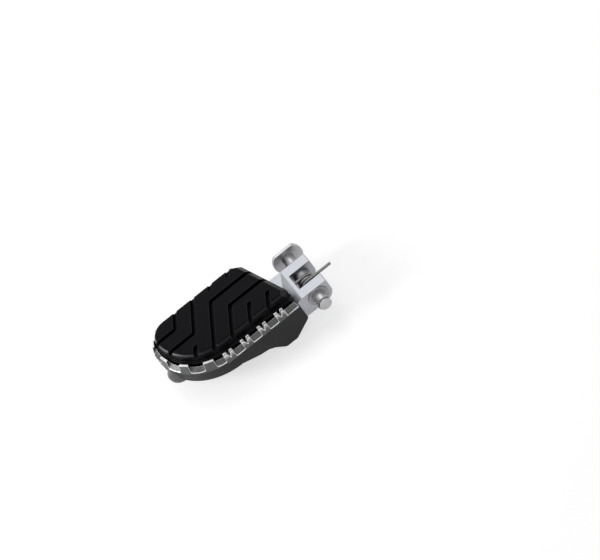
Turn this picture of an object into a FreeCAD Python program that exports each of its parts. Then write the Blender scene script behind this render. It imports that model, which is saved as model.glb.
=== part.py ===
import FreeCAD, Part
import math
import os
import Sketcher

# Folding footpeg for the left side of a motorbike.
# Frame: origin on the hinge pin's axis, midway between the arms; +X forward along the pin,
# +Y outward along the peg, +Z up. Millimetres.

SIZES = [
    # hinge pin and what rides on it
    ("pin_dia", 9.0, "hinge pin"),
    ("pin_fit", 0.05, "radial running clearance of the bushes on the pin"),
    ("undercut_depth", 0.3, "turned grooves that end the pin's two journals"),
    ("pin_stub", 3.4, "pin left standing behind the rear ear"),
    ("pin_chamfer", 0.8, "chamfer of the pin's rear end"),
    ("head_dia", 23.0, "pin head, across"),
    ("head_thick", 2.6, "pin head thickness"),
    ("head_flat", 9.0, "keyed flat of the head above the axis"),
    ("ear_front", 10.0, "bracket ear that the front journal runs through"),
    ("ear_rear", 6.0, "bracket ear that the rear journal runs through"),
    ("ear_gap", 1.3, "arm's outer face to the ear's inner face"),
    ("ear_play", 0.4, "head to the front ear, clip to the rear ear"),
    ("clip_wire", 1.2, "snap ring wire"),
    ("clip_bite", 0.55, "depth of the ring's groove"),
    ("clip_play", 0.05, "room of the ring in its groove"),
    ("bush_wall", 1.0, "bush wall"),
    ("bush_fit", 0.02, "radial allowance of the bush in the arm"),
    ("flange_dia", 15.0, "bush flange"),
    ("flange_thick", 0.8, "bush flange thickness"),
    ("sleeve_dia", 12.0, "spacer sleeve outside"),
    ("sleeve_fit", 0.1, "radial clearance of the sleeve on the pin"),
    ("sleeve_rear", 2.2, "rear end of the sleeve"),
    ("side_play", 0.4, "sleeve to the front arm"),
    ("wire_dia", 2.1, "return spring wire"),
    ("coil_gap", 0.2, "coil's inside to the pin"),
    ("coil_turns", 2.0, "turns of the return spring"),
    ("coil_pitch", 2.5, "spring pitch"),
    ("coil_rear", 4.3, "centre of the rearmost turn behind the origin"),
    ("frame_leg", 19.5, "reach of the spring leg that bears on the frame"),
    ("block_leg", 10.6, "reach of the spring leg that bears in the block"),
    ("leg_room", 0.15, "radial room round that leg in its hole"),
    # hinge block
    ("block_width", 31.0, "across the two arms"),
    ("window_width", 14.8, "between the arms"),
    ("window_depth", 7.4, "window's end beyond the pin axis"),
    ("arm_reach", 9.9, "arms' ends behind the pin axis"),
    ("arm_round", 8.0, "rounding under the arms' ends"),
    ("block_top", 7.8, "top face above the pin axis"),
    ("block_base", 9.5, "underside below the pin axis"),
    ("neck_bend", 10.0, "where the top face starts to fall"),
    ("neck_fall", 17.0, "slope of the neck, degrees"),
    ("shoulder_fall", 8.5, "slope of the shoulder that falls from the front edge, degrees"),
    ("foot_end", 53.5, "outer end of the foot"),
    ("foot_side", 12.5, "rear side of the foot"),
    ("neck_gap", 0.6, "neck to the platform's inner end"),
    ("edge_break", 0.5, "broken edges of the block"),
    # platform
    ("wall_rear", 18.0, "rear wall behind the pin axis"),
    ("sweep_radius", 45.0, "swept rear outer corner"),
    ("corner_radius", 18.7, "front outer corner"),
    ("sweep_start", 66.5, "where the sweep leaves the straight rear wall"),
    ("inner_end", 14.0, "inner end at the rear wall"),
    ("inner_slant", 0.33, "fall-away of the inner end per mm forward"),
    ("wall_drop", 3.2, "lower edge of the wall, and the foot's seat, below the pin axis"),
    ("rim_base", 5.5, "where the wall starts to lean in"),
    ("rim_top", 12.1, "top of the teeth"),
    ("rim_lean", 2.4, "lean of the wall up to its top"),
    ("wall_thick", 4.0, "wall at its foot"),
    ("floor_top", 5.0, "floor under the tread"),
    ("floor_thick", 5.0, "floor"),
    ("tooth_first", 27.5, "first tooth from the pin axis"),
    ("tooth_pitch", 14.0, "teeth along the straight sides"),
    ("tooth_width", 7.0, "tooth width"),
    ("tooth_split", 3.4, "depth of the split in a tooth"),
    ("split_width", 2.4, "width of the split"),
    ("tooth_lean", 0.7, "lean of a rear tooth"),
    ("crest_width", 1.8, "groove along the crests of the rear teeth"),
    ("crest_depth", 2.4, "depth of that groove"),
    ("gap_inner", 8.8, "sloped gap floor, inside"),
    ("gap_outer", 6.2, "sloped gap floor, outside"),
    ("last_turn", 13.9, "last gap of the rear row, on the sweep, degrees"),
    ("tip_first", 36.7, "first wide gap on the sweep, degrees"),
    ("tip_step", 24.7, "wide gaps on the sweep, degrees"),
    ("tip_gap", 11.0, "gap width on the sweep"),
    ("skirt_low", 17.4, "lowest edge of the rear side wall"),
    ("skirt_fillet", 3.0, "roundings of the side walls"),
    ("boss_radius", 8.8, "boss under the tip"),
    ("boss_stand", 4.0, "how far the boss stands out of the wall"),
    ("boss_turn", 68.5, "place of the boss on the sweep, degrees from the rear"),
    ("boss_drop", 7.2, "lower end of the boss"),
    ("boss_round", 3.6, "rounding of the boss"),
    ("rib_width", 5.0, "rib under the floor"),
    ("rib_x", 10.0, "rib forward of the pin's middle"),
    ("rib_drop", 6.0, "depth of the rib beside the foot"),
    # tread
    ("tread_top", 17.9, "tread surface above the pin axis"),
    ("tread_gap", 1.4, "tread's base to the rim"),
    ("tread_step", 1.2, "ledge along the tread's side"),
    ("ledge_level", 10.8, "level of that ledge"),
    ("tread_round", 3.0, "rounding of the tread's edge"),
    ("tread_lip", 3.2, "reach of the tread over the neck"),
    ("lip_base", 8.6, "underside of that lip"),
    ("lip_bevel", 3.2, "bevel of the tread's inner edge"),
    ("groove_width", 3.2, "tread grooves"),
    ("groove_depth", 2.8, "tread groove depth"),
    ("groove_slope", 0.455, "fall of a slanted groove per mm"),
    ("groove_first", 24.8, "first slanted groove on the pin's mid plane"),
    ("groove_pitch", 15.0, "slanted grooves"),
    ("leg_front", 24.6, "front lengthwise groove"),
    ("leg_rear", 11.0, "rear lengthwise groove"),
    ("stub_first", 0.4, "blunt end of the innermost rear groove"),
    ("stub_second", 2.8, "blunt end of the next rear groove"),
    ("stub_outer", 2.0, "blunt end of the outermost rear groove"),
    ("stub_front", 33.1, "blunt ends of the two front grooves"),
    # fasteners
    ("screw_dia", 8.0, "block screws"),
    ("screw_head", 13.0, "their heads"),
    ("screw_head_high", 5.0, "head height"),
    ("screw_key", 5.0, "hexagon socket across flats"),
    ("washer_dia", 16.0, "their washers"),
    ("washer_thick", 1.6, "washer thickness"),
    ("screw_fit", 0.05, "thread allowance"),
    ("hole_room", 0.3, "radial room in clearance holes"),
    ("screw_x", 1.5, "block screws forward of the pin's middle"),
    ("screw_inner", 29.0, "inner block screw"),
    ("screw_outer", 45.5, "outer block screw"),
    ("pad_screw_dia", 5.0, "tread screws"),
    ("pad_screw_head", 8.5, "their heads"),
    ("pad_screw_high", 3.0, "head height"),
    ("pad_screw_key", 3.0, "hexagon socket across flats"),
    ("pad_screw_grip", 6.5, "length in the tread"),
    ("pad_washer_dia", 11.0, "their washers"),
    ("pad_washer_thick", 1.2, "washer thickness"),
    ("root_screw_in", 16.0, "tread screw near the neck, back from the front wall"),
    ("root_screw_out", 17.0, "its distance out from the inner end"),
    ("rear_screw_in", 16.0, "tread screw beyond the foot, forward from the rear wall"),
    ("rear_screw_out", 12.5, "its distance out from the foot's end"),
    ("tip_screw_in", 20.0, "tread screw near the tip, in from the tip's wall"),
]

# Lower edges of the side walls: distance out from the wall's inner end, and share of skirt_low.
REAR_SKIRT = [(0.0, 0.46), (14.0, 1.0), (23.0, 1.0), (29.5, 0.63), (33.5, 0.49), (40.0, 0.43)]
FRONT_SKIRT = [(0.0, 0.42), (8.0, 0.66), (15.0, 0.64), (21.0, 0.4)]

doc = FreeCAD.newDocument("footpeg")
sheet = doc.addObject("Spreadsheet::Sheet", "sizes")
for row, (alias, number, note) in enumerate(SIZES, 1):
    sheet.set(f"A{row}", alias)
    sheet.set(f"B{row}", str(number))
    sheet.set(f"C{row}", note)
    sheet.setAlias(f"B{row}", alias)
doc.recompute()


class Size:
    """A length that carries its number together with the sheet expression it comes from."""

    def __init__(self, text, value):
        self.text = text
        self.value = float(value)

    def join(self, sign, other, value):
        return Size(f"({self.text} {sign} {other.text})", value)

    def __add__(self, other):
        other = as_size(other)
        return self.join("+", other, self.value + other.value)

    def __sub__(self, other):
        other = as_size(other)
        return self.join("-", other, self.value - other.value)

    def __mul__(self, other):
        other = as_size(other)
        return self.join("*", other, self.value * other.value)

    def __truediv__(self, other):
        other = as_size(other)
        return self.join("/", other, self.value / other.value)

    def __radd__(self, other):
        return as_size(other) + self

    def __rsub__(self, other):
        return as_size(other) - self

    def __rmul__(self, other):
        return as_size(other) * self

    def __neg__(self):
        return Size(f"(0 - {self.text})", -self.value)


def as_size(number):
    return number if isinstance(number, Size) else Size(repr(float(number)), number)


def dim(alias):
    """The sheet cell of that alias."""
    return Size(f"sizes.{alias}", sheet.get(alias))


def bind(item, prop, size):
    item.setExpression(prop, as_size(size).text)


def new_body(label):
    body = doc.addObject("PartDesign::Body", label)
    body.Label = label
    return body


def origin_item(body, role):
    return next(item for item in body.Origin.OriginFeatures if item.Role == role)


def new_sketch(body, name, role="XY_Plane", lift=None):
    """A sketch on one of the body's origin planes, lifted along that plane's normal."""
    sketch = body.newObject("Sketcher::SketchObject", name)
    sketch.AttachmentSupport = (origin_item(body, role), [""])
    sketch.MapMode = "FlatFace"
    if lift is not None:
        bind(sketch, "AttachmentOffset.Base.z", lift)
    return sketch


def pin_down(sketch, kind, axis, item, end, size):
    """Holds one coordinate of a sketch point at a bound size, or on the axis where it is nought."""
    size = as_size(size)
    if abs(size.value) < 1e-9:
        sketch.addConstraint(Sketcher.Constraint("PointOnObject", item, end, axis))
        return
    index = sketch.addConstraint(Sketcher.Constraint(kind, -1, 1, item, end, size.value))
    sketch.setExpression(f"Constraints[{index}]", size.text)


def closed_shape(sketch, points, arcs=None):
    """Closed chain through points; arcs gives, for a side's index, its centre (x, y) and radius."""
    arcs = arcs or {}
    count = len(points)
    spots = [FreeCAD.Vector(as_size(x).value, as_size(y).value, 0) for x, y in points]
    items = []
    for side in range(count):
        start, end = spots[side], spots[(side + 1) % count]
        if side not in arcs:
            items.append((sketch.addGeometry(Part.LineSegment(start, end)), 1, 2))
            continue
        centre_x, centre_y, radius = (as_size(part) for part in arcs[side])
        centre = FreeCAD.Vector(centre_x.value, centre_y.value, 0)
        first = math.atan2(start.y - centre.y, start.x - centre.x)
        last = math.atan2(end.y - centre.y, end.x - centre.x)
        turns_left = (last - first) % (2 * math.pi) < math.pi
        angles = (first, last) if turns_left else (last, first)
        circle = Part.Circle(centre, FreeCAD.Vector(0, 0, 1), radius.value)
        item = sketch.addGeometry(Part.ArcOfCircle(circle, *angles))
        items.append((item, 1, 2) if turns_left else (item, 2, 1))
        index = sketch.addConstraint(Sketcher.Constraint("Radius", item, radius.value))
        sketch.setExpression(f"Constraints[{index}]", radius.text)
    for side in range(count):
        item, start, end = items[side]
        following, begin, _ = items[(side + 1) % count]
        sketch.addConstraint(Sketcher.Constraint("Coincident", item, end, following, begin))
        pin_down(sketch, "DistanceX", -2, item, start, points[side][0])
        pin_down(sketch, "DistanceY", -1, item, start, points[side][1])


def round_shape(sketch, x, y, radius):
    """A circle at (x, y)."""
    x, y, radius = as_size(x), as_size(y), as_size(radius)
    circle = Part.Circle(FreeCAD.Vector(x.value, y.value, 0), FreeCAD.Vector(0, 0, 1), radius.value)
    item = sketch.addGeometry(circle)
    index = sketch.addConstraint(Sketcher.Constraint("Radius", item, radius.value))
    sketch.setExpression(f"Constraints[{index}]", radius.text)
    pin_down(sketch, "DistanceX", -2, item, 3, x)
    pin_down(sketch, "DistanceY", -1, item, 3, y)


def box_shape(sketch, x0, x1, y0, y1):
    closed_shape(sketch, [(x0, y0), (x1, y0), (x1, y1), (x0, y1)])


def extrude(body, kind, name, sketch, length=None, both=False, back=False):
    """Pads or pockets a sketch: by length, or through everything where none is given."""
    feature = body.newObject(f"PartDesign::{kind}", name)
    feature.Profile = sketch
    feature.SideType = "Symmetric" if both else "One side"
    feature.Reversed = back
    if length is None:
        feature.Type = "ThroughAll"
    else:
        bind(feature, "Length", length)
    volume = body.Shape.Volume if body.Shape.Solids else 0.0
    doc.recompute()
    grown = body.Shape.Volume - volume
    if (grown > 0) != (kind == "Pad"):
        raise RuntimeError(f"{name} changes {body.Label} the wrong way: {grown:.3f}")
    return feature


def pattern(body, kind, name, feature, **settings):
    """Repeats a feature along a direction or about an axis."""
    item = body.newObject(f"PartDesign::{kind}", name)
    item.Originals = [feature]
    for prop, value in settings.items():
        if isinstance(value, Size):
            bind(item, prop, value)
        else:
            setattr(item, prop, value)
    body.Tip = item
    doc.recompute()
    return item


def soften(body, kind, name, size, chosen):
    """Fillets or chamfers the edges of the body that chosen(edge) picks."""
    doc.recompute()
    tip = body.Tip
    names = [f"Edge{i}" for i, edge in enumerate(tip.Shape.Edges, 1) if chosen(edge)]
    if not names:
        raise RuntimeError(f"{name}: no edges")
    feature = body.newObject(f"PartDesign::{kind}", name)
    feature.Base = (tip, names)
    bind(feature, "Radius" if kind == "Fillet" else "Size", size)
    doc.recompute()
    return feature


def runs_along(edge, axis):
    """True for a straight edge parallel to the axis."""
    if edge.Curve.TypeId != "Part::GeomLine":
        return False
    return abs(edge.tangentAt(edge.FirstParameter).dot(axis)) > 0.9999


def near(value, size):
    return abs(value - as_size(size).value) < 1e-4


ALONG_X = FreeCAD.Vector(1, 0, 0)
ALONG_Z = FreeCAD.Vector(0, 0, 1)
half_block = dim("block_width") / 2
half_window = dim("window_width") / 2
pin_radius = dim("pin_dia") / 2
bush_radius = pin_radius + dim("pin_fit") + dim("bush_wall")
ear_inside = half_block + dim("ear_gap")
sweep_x = dim("sweep_radius") - dim("wall_rear")
corner_y = dim("sweep_start") + dim("sweep_radius") - dim("corner_radius")
wall_front = sweep_x + dim("corner_radius")
floor_under = dim("floor_top") - dim("floor_thick")


def inner_line(x, shift):
    """The slanted inner end of the platform at x, moved out by shift."""
    return dim("inner_end") + dim("inner_slant") * (x + dim("wall_rear")) + shift


root_x = wall_front - dim("root_screw_in")
pad_screws = {
    "root": (root_x, inner_line(root_x, dim("root_screw_out"))),
    "rear": (dim("rear_screw_in") - dim("wall_rear"), dim("foot_end") + dim("rear_screw_out")),
    "tip": (sweep_x, dim("sweep_start") + dim("sweep_radius") - dim("tip_screw_in"))}


def swept_outline(sketch, inset, shift=0.0, cut=None):
    """The platform's outline, set in all round: straight sides, swept rear and round front corner.

    shift moves the slanted inner end out; cut takes that much off its two corners."""
    inset = as_size(inset)
    rear, front = inset - dim("wall_rear"), wall_front - inset
    tip = dim("sweep_start") + dim("sweep_radius") - inset
    if cut is None:
        inner_rear = [(rear, inner_line(rear, shift))]
        inner_front = [(front, inner_line(front, shift))]
    else:
        inner_rear = [(rear + cut, inner_line(rear + cut, shift)), (rear, inner_line(rear, shift) + cut)]
        inner_front = [(front, inner_line(front, shift) + cut),
                       (front - cut, inner_line(front - cut, shift))]
    points = inner_rear + [(rear, dim("sweep_start")), (sweep_x, tip), (front, corner_y)] + inner_front
    sweep = len(inner_rear)
    arcs = {sweep: (sweep_x, dim("sweep_start"), dim("sweep_radius") - inset),
            sweep + 1: (sweep_x, corner_y, dim("corner_radius") - inset)}
    closed_shape(sketch, points, arcs)


# Hinge block: side profile, slanted end, foot, window, bores, then the sloped neck.
block = new_body("block_blank")
sketch = new_sketch(block, "block_side", "YZ_Plane")
neck_end = inner_line(half_block, 0.0)
nose_y = dim("arm_round") - dim("arm_reach")
nose_z = dim("arm_round") - dim("block_base")
closed_shape(sketch, [(-dim("arm_reach"), dim("block_top")), (-dim("arm_reach"), nose_z),
                      (nose_y, -dim("block_base")), (neck_end, -dim("block_base")),
                      (neck_end, dim("block_top"))],
             {1: (nose_y, nose_z, dim("arm_round"))})
extrude(block, "Pad", "block_pad", sketch, dim("block_width"), both=True)
sketch = new_sketch(block, "neck_cut", "XY_Plane")
far = dim("block_width")
closed_shape(sketch, [(-far, inner_line(-far, -dim("neck_gap"))), (far, inner_line(far, -dim("neck_gap"))),
                      (far, neck_end + far), (-far, neck_end + far)])
extrude(block, "Pocket", "neck_end", sketch, dim("block_width") * 2, both=True)
sketch = new_sketch(block, "foot_plan", "XY_Plane", -dim("block_base"))
box_shape(sketch, -dim("foot_side"), half_block, dim("window_depth") + 2, dim("foot_end"))
extrude(block, "Pad", "foot", sketch, dim("block_base") - dim("wall_drop"))
sketch = new_sketch(block, "window_plan", "XY_Plane")
box_shape(sketch, -half_window, half_window, -dim("arm_reach") - 5, dim("window_depth"))
extrude(block, "Pocket", "window", sketch, dim("block_width") * 2, both=True)
sketch = new_sketch(block, "bore_side", "YZ_Plane")
round_shape(sketch, 0, 0, bush_radius + dim("bush_fit"))
extrude(block, "Pocket", "bush_bores", sketch, dim("block_width") * 2, both=True)
sketch = new_sketch(block, "screw_plan", "XY_Plane", -dim("wall_drop") + 1)
for y in (dim("screw_inner"), dim("screw_outer")):
    round_shape(sketch, dim("screw_x"), y, dim("screw_dia") / 2 + dim("hole_room"))
extrude(block, "Pocket", "screw_holes", sketch, dim("block_base") * 2)
coil_radius = pin_radius + dim("coil_gap") + dim("wire_dia") / 2
coil_front = dim("coil_turns") * dim("coil_pitch") - dim("coil_rear")
sketch = new_sketch(block, "leg_hole_front", "XZ_Plane", 1 - dim("window_depth"))
round_shape(sketch, coil_front, coil_radius, dim("wire_dia") / 2 + dim("leg_room"))
extrude(block, "Pocket", "leg_hole", sketch, dim("block_leg") - dim("window_depth") + 2)
soften(block, "Chamfer", "arm_edges", dim("edge_break"),
       lambda edge: runs_along(edge, ALONG_X) and near(edge.BoundBox.YMin, -dim("arm_reach"))
       and near(edge.BoundBox.ZMin, dim("block_top")))

fall = doc.addObject("Part::Box", "neck_slope")
shoulder = doc.addObject("Part::Box", "shoulder_slope")
fall.Placement.Rotation = FreeCAD.Rotation(ALONG_X, -dim("neck_fall").value)
shoulder.Placement.Rotation = (FreeCAD.Rotation(ALONG_Z, 90)
                               * FreeCAD.Rotation(ALONG_X, -dim("shoulder_fall").value))
slope_starts = {fall: (-dim("block_width"), dim("neck_bend"), dim("block_top")),
                shoulder: (half_block, -dim("block_width"), dim("block_top"))}
for tool, start in slope_starts.items():
    for prop in ("Length", "Width", "Height"):
        bind(tool, prop, dim("block_width") * 2)
    for axis, place in zip("xyz", start):
        bind(tool, f"Placement.Base.{axis}", place)
neck_waste = doc.addObject("Part::Common", "neck_waste")
neck_waste.Base, neck_waste.Tool = fall, shoulder
hinge_block = doc.addObject("Part::Cut", "hinge_block")
hinge_block.Base, hinge_block.Tool = block, neck_waste
doc.recompute()


# Platform: wall and floor, leaning rim, recess, hollow underside, side walls, teeth, boss, holes.
platform = new_body("peg_platform")
sketch = new_sketch(platform, "wall_plan", "XY_Plane", -dim("wall_drop"))
swept_outline(sketch, 0.0)
extrude(platform, "Pad", "wall", sketch, dim("rim_base") + dim("wall_drop"))
foot_plan = new_sketch(platform, "rim_foot", "XY_Plane", dim("rim_base"))
swept_outline(foot_plan, 0.0)
top_plan = new_sketch(platform, "rim_crest", "XY_Plane", dim("rim_top"))
swept_outline(top_plan, dim("rim_lean"))
rim = platform.newObject("PartDesign::AdditiveLoft", "rim")
rim.Profile = foot_plan
rim.Sections = [top_plan]
rim.Ruled = True
doc.recompute()
rear_face = -dim("wall_rear")
row_middle = dim("tooth_first") + dim("tooth_pitch") * 3 / 2
row_length = dim("tooth_pitch") * 3 + dim("tooth_width")
sketch = new_sketch(platform, "rear_stock_section", "XZ_Plane")
bind(sketch, "AttachmentOffset.Base.z", -row_middle)
closed_shape(sketch, [(rear_face, dim("rim_base")), (rear_face + dim("tooth_lean"), dim("rim_top")),
                      (rear_face + dim("wall_thick"), dim("rim_top")),
                      (rear_face + dim("wall_thick"), dim("rim_base"))])
extrude(platform, "Pad", "rear_stock", sketch, row_length + 1, both=True)
sketch = new_sketch(platform, "recess_plan", "XY_Plane", dim("rim_top") + 1)
swept_outline(sketch, dim("wall_thick"), -dim("wall_rear"))
extrude(platform, "Pocket", "recess", sketch, dim("rim_top") + 1 - dim("floor_top"))
sketch = new_sketch(platform, "hollow_plan", "XY_Plane", floor_under)
swept_outline(sketch, dim("wall_thick"), dim("wall_thick"))
extrude(platform, "Pocket", "hollow", sketch, dim("wall_drop") + floor_under + 1)
sketch = new_sketch(platform, "seat_plan", "XY_Plane", -dim("wall_drop"))
seat_front = half_block + 1
seat_end = dim("foot_end") + 1
closed_shape(sketch, [(1 - dim("wall_rear"), inner_line(1 - dim("wall_rear"), 0.0)),
                      (seat_front, inner_line(seat_front, 0.0)), (seat_front, seat_end),
                      (1 - dim("wall_rear"), seat_end)])
extrude(platform, "Pad", "foot_seat", sketch, floor_under + dim("wall_drop") + 1)
rib_end = dim("sweep_start") + dim("sweep_radius") - dim("wall_thick") * 2
sketch = new_sketch(platform, "rib_side", "YZ_Plane", dim("rib_x"))
rib_start = dim("foot_end") + dim("neck_gap")
closed_shape(sketch, [(rib_start, floor_under + 1), (rib_start, -dim("rib_drop")),
                      (rib_end, -dim("wall_drop")), (rib_end, floor_under + 1)])
extrude(platform, "Pad", "rib", sketch, dim("rib_width"), both=True)
boss_reach = dim("sweep_radius") + dim("boss_stand") - dim("boss_radius")
boss_angle = math.radians(dim("boss_turn").value)
boss_plan = new_sketch(platform, "boss_section", "XZ_Plane")
bind(boss_plan, "AttachmentOffset.Base.x", sweep_x - boss_reach * math.cos(boss_angle))
bind(boss_plan, "AttachmentOffset.Base.z", -dim("sweep_start") - boss_reach * math.sin(boss_angle))
shoulder_z = dim("boss_round") - dim("boss_drop")
boss_flat = dim("boss_radius") - dim("boss_round")
boss_top = dim("floor_top") - 0.5
closed_shape(boss_plan, [(0, -dim("boss_drop")), (boss_flat, -dim("boss_drop")),
                         (dim("boss_radius"), shoulder_z), (dim("boss_radius"), shoulder_z + 1.5),
                         (dim("boss_radius") / 2, boss_top), (0, boss_top)],
             {1: (boss_flat, shoulder_z, dim("boss_round"))})
boss = platform.newObject("PartDesign::Revolution", "boss")
boss.Profile = boss_plan
boss.ReferenceAxis = (boss_plan, ["V_Axis"])
boss.Angle = 360
doc.recompute()


def side_wall(name, x, inner, outer, edge):
    """A wall hanging below the rim, one wall thick forward from x, between two distances out."""
    lower = [(inner + along, dim("skirt_low") * -share) for along, share in edge]
    wall_sketch = new_sketch(platform, f"{name}_side", "YZ_Plane", x)
    closed_shape(wall_sketch, [(inner, floor_under)] + lower
                 + [(outer, -dim("wall_drop")), (outer, floor_under)])
    extrude(platform, "Pad", name, wall_sketch, dim("wall_thick"))


side_wall("rear_skirt", -dim("wall_rear"), dim("inner_end"), dim("sweep_start"), REAR_SKIRT)
side_wall("front_skirt", wall_front - dim("wall_thick"), inner_line(wall_front, 0.0), corner_y, FRONT_SKIRT)
soften(platform, "Fillet", "skirt_rounds", dim("skirt_fillet"),
       lambda edge: runs_along(edge, ALONG_X) and near(edge.Length, dim("wall_thick"))
       and edge.BoundBox.ZMax < -dim("wall_drop").value - 0.5)
sketch = new_sketch(platform, "slant_plan", "XY_Plane", floor_under)
skirt_out, skirt_in = -dim("wall_rear") - 1, dim("wall_thick") + 1 - dim("wall_rear")
closed_shape(sketch, [(skirt_out, inner_line(skirt_out, 0.0)), (skirt_out, 1), (skirt_in, 1),
                      (skirt_in, inner_line(skirt_in, 0.0))])
extrude(platform, "Pocket", "skirt_slant", sketch, dim("skirt_low") + 1)


def gap_sketch(name, flip):
    """Section of a gap between teeth: a floor that falls outward, open above; x from the wall's face."""
    section = new_sketch(platform, name, "XZ_Plane")
    inside = dim("wall_thick") + 0.6
    rise = (dim("gap_inner") - dim("gap_outer")) / dim("wall_thick")
    top = dim("rim_top") + 2
    spots = [(inside, dim("gap_outer") + rise * inside), (inside, top), (as_size(-3.0), top),
             (as_size(-3.0), dim("gap_outer") - rise * 3.0)]
    return section, [(x if flip else -x, z) for x, z in spots]


def straight_gaps(name, x, forward, first, width, count):
    """Gaps along a straight side: x of the wall's face, which way is out, first centre and count."""
    section, spots = gap_sketch(name + "_section", not forward)
    closed_shape(section, [(x + across, z) for across, z in spots])
    bind(section, "AttachmentOffset.Base.z", -first)
    gap = extrude(platform, "Pocket", name, section, width, both=True)
    if count > 1:
        pattern(platform, "LinearPattern", name + "_row", gap, Direction=outward,
                Length=dim("tooth_pitch") * (count - 1), Occurrences=count)


def splits(name, x, first, count):
    """Vee splits across the teeth of a straight side."""
    section = new_sketch(platform, name + "_section", "YZ_Plane", x)
    rise = dim("split_width") / dim("tooth_split")
    half = dim("split_width") / 2 + rise / 2
    closed_shape(section, [(first, dim("rim_top") - dim("tooth_split")), (first + half, dim("rim_top") + 1),
                           (first - half, dim("rim_top") + 1)])
    split = extrude(platform, "Pocket", name, section, dim("wall_thick") + 2, both=True)
    pattern(platform, "LinearPattern", name + "_row", split, Direction=outward,
            Length=dim("tooth_pitch") * (count - 1), Occurrences=count)


outward = (origin_item(platform, "Y_Axis"), [""])
gap_width = dim("tooth_pitch") - dim("tooth_width")
first_gap = dim("tooth_first") + dim("tooth_pitch") / 2
tab_end = dim("tooth_first") - dim("tooth_width") / 2
straight_gaps("rear_tab", -dim("wall_rear"), False, dim("inner_end"), (tab_end - dim("inner_end")) * 2, 1)
straight_gaps("rear_gaps", -dim("wall_rear"), False, first_gap, gap_width, 3)
splits("rear_splits", 3 - dim("wall_rear"), dim("tooth_first"), 4)
front_first = dim("tooth_first") + dim("tooth_pitch")
straight_gaps("front_gaps", wall_front, True, front_first + dim("tooth_pitch") / 2, gap_width, 4)
splits("front_splits", wall_front - 3, front_first + dim("tooth_pitch"), 3)
crest_middle = rear_face + (dim("tooth_lean") + dim("wall_thick")) / 2
crest_half = dim("crest_width") / 2 + dim("crest_width") / dim("crest_depth") / 2
sketch = new_sketch(platform, "crest_section", "XZ_Plane")
bind(sketch, "AttachmentOffset.Base.z", -row_middle)
closed_shape(sketch, [(crest_middle, dim("rim_top") - dim("crest_depth")),
                      (crest_middle + crest_half, dim("rim_top") + 1),
                      (crest_middle - crest_half, dim("rim_top") + 1)])
extrude(platform, "Pocket", "rear_crests", sketch, row_length + 2, both=True)


def swept_gaps(name, centre_y, radius, first, width, step, count):
    """Gaps round an arc about (sweep_x, centre_y): first one's turn from the rear, spacing and count."""
    section, spots = gap_sketch(name + "_section", False)
    closed_shape(section, [(-across - radius, z) for across, z in spots])
    section.AttachmentOffset = FreeCAD.Placement(
        FreeCAD.Vector(sweep_x.value, 0, -centre_y.value),
        FreeCAD.Rotation(FreeCAD.Vector(0, -1, 0), first.value))
    bind(section, "AttachmentOffset.Base.x", sweep_x)
    bind(section, "AttachmentOffset.Base.z", -centre_y)
    bind(section, "AttachmentOffset.Rotation.Angle", first)
    gap = extrude(platform, "Pocket", name, section, width, both=True)
    if count > 1:
        pattern(platform, "PolarPattern", name + "_row", gap, Axis=(section, ["V_Axis"]), Reversed=True,
                Angle=step * (count - 1), Occurrences=count)


swept_gaps("last_gap", dim("sweep_start"), dim("sweep_radius"), dim("last_turn"), gap_width,
           dim("tip_step"), 1)
swept_gaps("tip_gaps", dim("sweep_start"), dim("sweep_radius"), dim("tip_first"), dim("tip_gap"),
           dim("tip_step"), 3)
swept_gaps("corner_gap", corner_y, dim("corner_radius"), dim("tip_first") + dim("tip_step") * 4,
           gap_width, dim("tip_step"), 1)
sketch = new_sketch(platform, "tapped_plan", "XY_Plane", dim("floor_top") + 1)
for y in (dim("screw_inner"), dim("screw_outer")):
    round_shape(sketch, dim("screw_x"), y, dim("screw_dia") / 2 + dim("screw_fit"))
for x, y in pad_screws.values():
    round_shape(sketch, x, y, dim("pad_screw_dia") / 2 + dim("hole_room"))
extrude(platform, "Pocket", "screw_bores", sketch, dim("floor_top") + dim("wall_drop") + 3)


# Tread: base, ledge, lip over the neck, softened edges, grooves and blind holes.
tread = new_body("tread_pad")
base_inset = dim("wall_thick") + dim("tread_gap")
side_inset = base_inset + dim("tread_step")
sketch = new_sketch(tread, "base_plan", "XY_Plane", dim("floor_top"))
swept_outline(sketch, base_inset, dim("tread_gap"))
extrude(tread, "Pad", "base", sketch, dim("lip_base") - dim("floor_top"))
corner_cut = dim("tread_lip") + dim("tread_step")
bevel_level = dim("tread_top") - dim("lip_bevel")
sketch = new_sketch(tread, "lip_plan", "XY_Plane", dim("lip_base"))
swept_outline(sketch, base_inset, -dim("tread_lip"), corner_cut)
extrude(tread, "Pad", "lip", sketch, dim("ledge_level") - dim("lip_base"))
sketch = new_sketch(tread, "side_plan", "XY_Plane", dim("ledge_level"))
swept_outline(sketch, side_inset, -dim("tread_lip"), corner_cut)
extrude(tread, "Pad", "side", sketch, bevel_level - dim("ledge_level"))
bevel_foot = new_sketch(tread, "bevel_foot", "XY_Plane", bevel_level)
swept_outline(bevel_foot, side_inset, -dim("tread_lip"), corner_cut)
bevel_crest = new_sketch(tread, "bevel_crest", "XY_Plane", dim("tread_top"))
swept_outline(bevel_crest, side_inset, dim("lip_bevel") - dim("tread_lip"), corner_cut)
crown = tread.newObject("PartDesign::AdditiveLoft", "crown")
crown.Profile = bevel_foot
crown.Sections = [bevel_crest]
crown.Ruled = True
soften(tread, "Fillet", "tread_edge", dim("tread_round"),
       lambda edge: near(edge.BoundBox.ZMin, dim("tread_top")))

half_groove = dim("groove_width") / 2
stretch = math.sqrt(1 + dim("groove_slope").value ** 2)
grooves = new_sketch(tread, "groove_plan", "XY_Plane", dim("tread_top"))
rear_out = -dim("wall_rear")
front_out = wall_front
inner_out = dim("inner_end") - dim("tread_lip") * 4
tip_out = dim("sweep_start") + dim("sweep_radius")


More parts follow.
